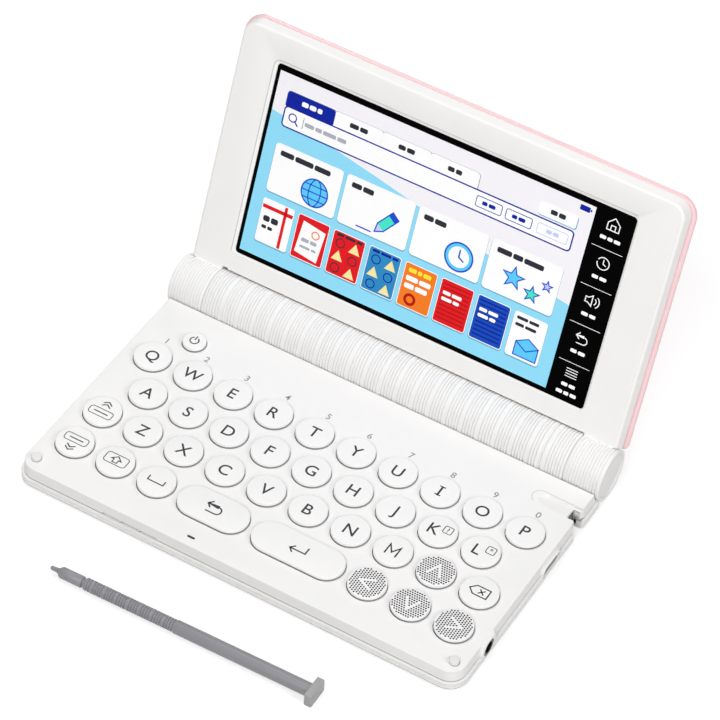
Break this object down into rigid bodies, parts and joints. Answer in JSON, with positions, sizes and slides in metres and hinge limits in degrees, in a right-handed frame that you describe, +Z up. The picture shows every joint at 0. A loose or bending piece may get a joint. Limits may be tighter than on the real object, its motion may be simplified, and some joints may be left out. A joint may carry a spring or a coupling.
{
  "type": "electronic dictionary",
  "caption": "Pocket electronic dictionary with a round-key keyboard base, a ribbed battery barrel at the back and a hinged colour touch-screen lid, with its stylus.",
  "frame": {"origin": "centre of the footprint, stylus included, on the table plane", "axes": "+X to the right along the hinge, +Y from the front edge to the lid, +Z up"},
  "size_m": [0.149, 0.1516, 0.0912],
  "materials": {
    "case_white": "fine satin white plastic",
    "barrel_white": "ribbed satin white plastic",
    "key_white": "satin white key caps with dark legends",
    "cover_pink": "smooth pale pink plastic",
    "screen_black": "black touch screen pane with a printed window",
    "display": "colour display module",
    "board_green": "circuit board",
    "mat_rubber": "grey silicone key mat",
    "foot_rubber": "grey rubber foot",
    "black_plastic": "black moulded plastic",
    "steel": "plated steel",
    "cell_sleeve": "plain sleeve of a round cell",
    "stylus_grey": "grey moulded plastic"
  },
  "bodies": {
    "base": {"base_top_case": "case_white", "base_bottom_case": "case_white", "battery_barrel": "barrel_white", "battery_cell_left": "cell_sleeve", "battery_cell_right": "cell_sleeve", "battery_contact_left": "steel", "battery_contact_right": "steel", "main_board": "board_green", "key_mat": "mat_rubber", "speaker": "black_plastic", "earphone_jack": "black_plastic", "data_port": "steel", "foot_left": "foot_rubber", "foot_right": "foot_rubber"},
    "lid": {"lid_bezel": "case_white", "lid_back_cover": "cover_pink", "touch_glass": "screen_black", "display_module": "display", "hinge_shaft_left": "steel", "hinge_shaft_right": "steel"},
    "cover": {"battery_cover": "barrel_white"},
    "stylus_body": {"stylus": "stylus_grey"},
    "key_q_body": {"key_q": "key_white"},
    "key_w_body": {"key_w": "key_white"},
    "key_e_body": {"key_e": "key_white"},
    "key_r_body": {"key_r": "key_white"},
    "key_t_body": {"key_t": "key_white"},
    "key_y_body": {"key_y": "key_white"},
    "key_u_body": {"key_u": "key_white"},
    "key_i_body": {"key_i": "key_white"},
    "key_o_body": {"key_o": "key_white"},
    "key_p_body": {"key_p": "key_white"},
    "key_a_body": {"key_a": "key_white"},
    "key_s_body": {"key_s": "key_white"},
    "key_d_body": {"key_d": "key_white"},
    "key_f_body": {"key_f": "key_white"},
    "key_g_body": {"key_g": "key_white"},
    "key_h_body": {"key_h": "key_white"},
    "key_j_body": {"key_j": "key_white"},
    "key_k_body": {"key_k": "key_white"},
    "key_l_body": {"key_l": "key_white"},
    "key_z_body": {"key_z": "key_white"},
    "key_x_body": {"key_x": "key_white"},
    "key_c_body": {"key_c": "key_white"},
    "key_v_body": {"key_v": "key_white"},
    "key_b_body": {"key_b": "key_white"},
    "key_n_body": {"key_n": "key_white"},
    "key_m_body": {"key_m": "key_white"},
    "key_power_body": {"key_power": "key_white"},
    "key_previous_body": {"key_previous": "key_white"},
    "key_next_body": {"key_next": "key_white"},
    "key_shift_body": {"key_shift": "key_white"},
    "key_space_body": {"key_space": "key_white"},
    "key_back_body": {"key_back": "key_white"},
    "key_enter_body": {"key_enter": "key_white"},
    "key_left_body": {"key_left": "key_white"},
    "key_down_body": {"key_down": "key_white"},
    "key_right_body": {"key_right": "key_white"},
    "key_up_body": {"key_up": "key_white"},
    "key_delete_body": {"key_delete": "key_white"}
  },
  "joints": [
    {"name": "lid_hinge", "type": "hinge", "parent": "base", "child": "lid", "pos_m": [0, 0.04001, 0.00827], "axis": [1, 0, 0], "range_deg": [-46, 109]},
    {"name": "battery_cover_lift", "type": "slide", "parent": "base", "child": "cover", "axis": [0, 0.515, -0.8572], "range_m": [0, 0.03]},
    {"name": "stylus_lift", "type": "slide", "parent": "base", "child": "stylus_body", "axis": [0, 0, 1], "range_m": [0, 0.06]},
    {"name": "key_q_press", "type": "slide", "parent": "base", "child": "key_q_body", "axis": [0, 0, -1], "range_m": [0, 0.0008], "stiffness_N_per_m": 500, "springref_m": -0.0004},
    {"name": "key_w_press", "type": "slide", "parent": "base", "child": "key_w_body", "axis": [0, 0, -1], "range_m": [0, 0.0008], "stiffness_N_per_m": 500, "springref_m": -0.0004},
    {"name": "key_e_press", "type": "slide", "parent": "base", "child": "key_e_body", "axis": [0, 0, -1], "range_m": [0, 0.0008], "stiffness_N_per_m": 500, "springref_m": -0.0004},
    {"name": "key_r_press", "type": "slide", "parent": "base", "child": "key_r_body", "axis": [0, 0, -1], "range_m": [0, 0.0008], "stiffness_N_per_m": 500, "springref_m": -0.0004},
    {"name": "key_t_press", "type": "slide", "parent": "base", "child": "key_t_body", "axis": [0, 0, -1], "range_m": [0, 0.0008], "stiffness_N_per_m": 500, "springref_m": -0.0004},
    {"name": "key_y_press", "type": "slide", "parent": "base", "child": "key_y_body", "axis": [0, 0, -1], "range_m": [0, 0.0008], "stiffness_N_per_m": 500, "springref_m": -0.0004},
    {"name": "key_u_press", "type": "slide", "parent": "base", "child": "key_u_body", "axis": [0, 0, -1], "range_m": [0, 0.0008], "stiffness_N_per_m": 500, "springref_m": -0.0004},
    {"name": "key_i_press", "type": "slide", "parent": "base", "child": "key_i_body", "axis": [0, 0, -1], "range_m": [0, 0.0008], "stiffness_N_per_m": 500, "springref_m": -0.0004},
    {"name": "key_o_press", "type": "slide", "parent": "base", "child": "key_o_body", "axis": [0, 0, -1], "range_m": [0, 0.0008], "stiffness_N_per_m": 500, "springref_m": -0.0004},
    {"name": "key_p_press", "type": "slide", "parent": "base", "child": "key_p_body", "axis": [0, 0, -1], "range_m": [0, 0.0008], "stiffness_N_per_m": 500, "springref_m": -0.0004},
    {"name": "key_a_press", "type": "slide", "parent": "base", "child": "key_a_body", "axis": [0, 0, -1], "range_m": [0, 0.0008], "stiffness_N_per_m": 500, "springref_m": -0.0004},
    {"name": "key_s_press", "type": "slide", "parent": "base", "child": "key_s_body", "axis": [0, 0, -1], "range_m": [0, 0.0008], "stiffness_N_per_m": 500, "springref_m": -0.0004},
    {"name": "key_d_press", "type": "slide", "parent": "base", "child": "key_d_body", "axis": [0, 0, -1], "range_m": [0, 0.0008], "stiffness_N_per_m": 500, "springref_m": -0.0004},
    {"name": "key_f_press", "type": "slide", "parent": "base", "child": "key_f_body", "axis": [0, 0, -1], "range_m": [0, 0.0008], "stiffness_N_per_m": 500, "springref_m": -0.0004},
    {"name": "key_g_press", "type": "slide", "parent": "base", "child": "key_g_body", "axis": [0, 0, -1], "range_m": [0, 0.0008], "stiffness_N_per_m": 500, "springref_m": -0.0004},
    {"name": "key_h_press", "type": "slide", "parent": "base", "child": "key_h_body", "axis": [0, 0, -1], "range_m": [0, 0.0008], "stiffness_N_per_m": 500, "springref_m": -0.0004},
    {"name": "key_j_press", "type": "slide", "parent": "base", "child": "key_j_body", "axis": [0, 0, -1], "range_m": [0, 0.0008], "stiffness_N_per_m": 500, "springref_m": -0.0004},
    {"name": "key_k_press", "type": "slide", "parent": "base", "child": "key_k_body", "axis": [0, 0, -1], "range_m": [0, 0.0008], "stiffness_N_per_m": 500, "springref_m": -0.0004},
    {"name": "key_l_press", "type": "slide", "parent": "base", "child": "key_l_body", "axis": [0, 0, -1], "range_m": [0, 0.0008], "stiffness_N_per_m": 500, "springref_m": -0.0004},
    {"name": "key_z_press", "type": "slide", "parent": "base", "child": "key_z_body", "axis": [0, 0, -1], "range_m": [0, 0.0008], "stiffness_N_per_m": 500, "springref_m": -0.0004},
    {"name": "key_x_press", "type": "slide", "parent": "base", "child": "key_x_body", "axis": [0, 0, -1], "range_m": [0, 0.0008], "stiffness_N_per_m": 500, "springref_m": -0.0004},
    {"name": "key_c_press", "type": "slide", "parent": "base", "child": "key_c_body", "axis": [0, 0, -1], "range_m": [0, 0.0008], "stiffness_N_per_m": 500, "springref_m": -0.0004},
    {"name": "key_v_press", "type": "slide", "parent": "base", "child": "key_v_body", "axis": [0, 0, -1], "range_m": [0, 0.0008], "stiffness_N_per_m": 500, "springref_m": -0.0004},
    {"name": "key_b_press", "type": "slide", "parent": "base", "child": "key_b_body", "axis": [0, 0, -1], "range_m": [0, 0.0008], "stiffness_N_per_m": 500, "springref_m": -0.0004},
    {"name": "key_n_press", "type": "slide", "parent": "base", "child": "key_n_body", "axis": [0, 0, -1], "range_m": [0, 0.0008], "stiffness_N_per_m": 500, "springref_m": -0.0004},
    {"name": "key_m_press", "type": "slide", "parent": "base", "child": "key_m_body", "axis": [0, 0, -1], "range_m": [0, 0.0008], "stiffness_N_per_m": 500, "springref_m": -0.0004},
    {"name": "key_power_press", "type": "slide", "parent": "base", "child": "key_power_body", "axis": [0, 0, -1], "range_m": [0, 0.0008], "stiffness_N_per_m": 500, "springref_m": -0.0004},
    {"name": "key_previous_press", "type": "slide", "parent": "base", "child": "key_previous_body", "axis": [0, 0, -1], "range_m": [0, 0.0008], "stiffness_N_per_m": 500, "springref_m": -0.0004},
    {"name": "key_next_press", "type": "slide", "parent": "base", "child": "key_next_body", "axis": [0, 0, -1], "range_m": [0, 0.0008], "stiffness_N_per_m": 500, "springref_m": -0.0004},
    {"name": "key_shift_press", "type": "slide", "parent": "base", "child": "key_shift_body", "axis": [0, 0, -1], "range_m": [0, 0.0008], "stiffness_N_per_m": 500, "springref_m": -0.0004},
    {"name": "key_space_press", "type": "slide", "parent": "base", "child": "key_space_body", "axis": [0, 0, -1], "range_m": [0, 0.0008], "stiffness_N_per_m": 500, "springref_m": -0.0004},
    {"name": "key_back_press", "type": "slide", "parent": "base", "child": "key_back_body", "axis": [0, 0, -1], "range_m": [0, 0.0008], "stiffness_N_per_m": 500, "springref_m": -0.0004},
    {"name": "key_enter_press", "type": "slide", "parent": "base", "child": "key_enter_body", "axis": [0, 0, -1], "range_m": [0, 0.0008], "stiffness_N_per_m": 500, "springref_m": -0.0004},
    {"name": "key_left_press", "type": "slide", "parent": "base", "child": "key_left_body", "axis": [0, 0, -1], "range_m": [0, 0.0008], "stiffness_N_per_m": 500, "springref_m": -0.0004},
    {"name": "key_down_press", "type": "slide", "parent": "base", "child": "key_down_body", "axis": [0, 0, -1], "range_m": [0, 0.0008], "stiffness_N_per_m": 500, "springref_m": -0.0004},
    {"name": "key_right_press", "type": "slide", "parent": "base", "child": "key_right_body", "axis": [0, 0, -1], "range_m": [0, 0.0008], "stiffness_N_per_m": 500, "springref_m": -0.0004},
    {"name": "key_up_press", "type": "slide", "parent": "base", "child": "key_up_body", "axis": [0, 0, -1], "range_m": [0, 0.0008], "stiffness_N_per_m": 500, "springref_m": -0.0004},
    {"name": "key_delete_press", "type": "slide", "parent": "base", "child": "key_delete_body", "axis": [0, 0, -1], "range_m": [0, 0.0008], "stiffness_N_per_m": 500, "springref_m": -0.0004}
  ]
}
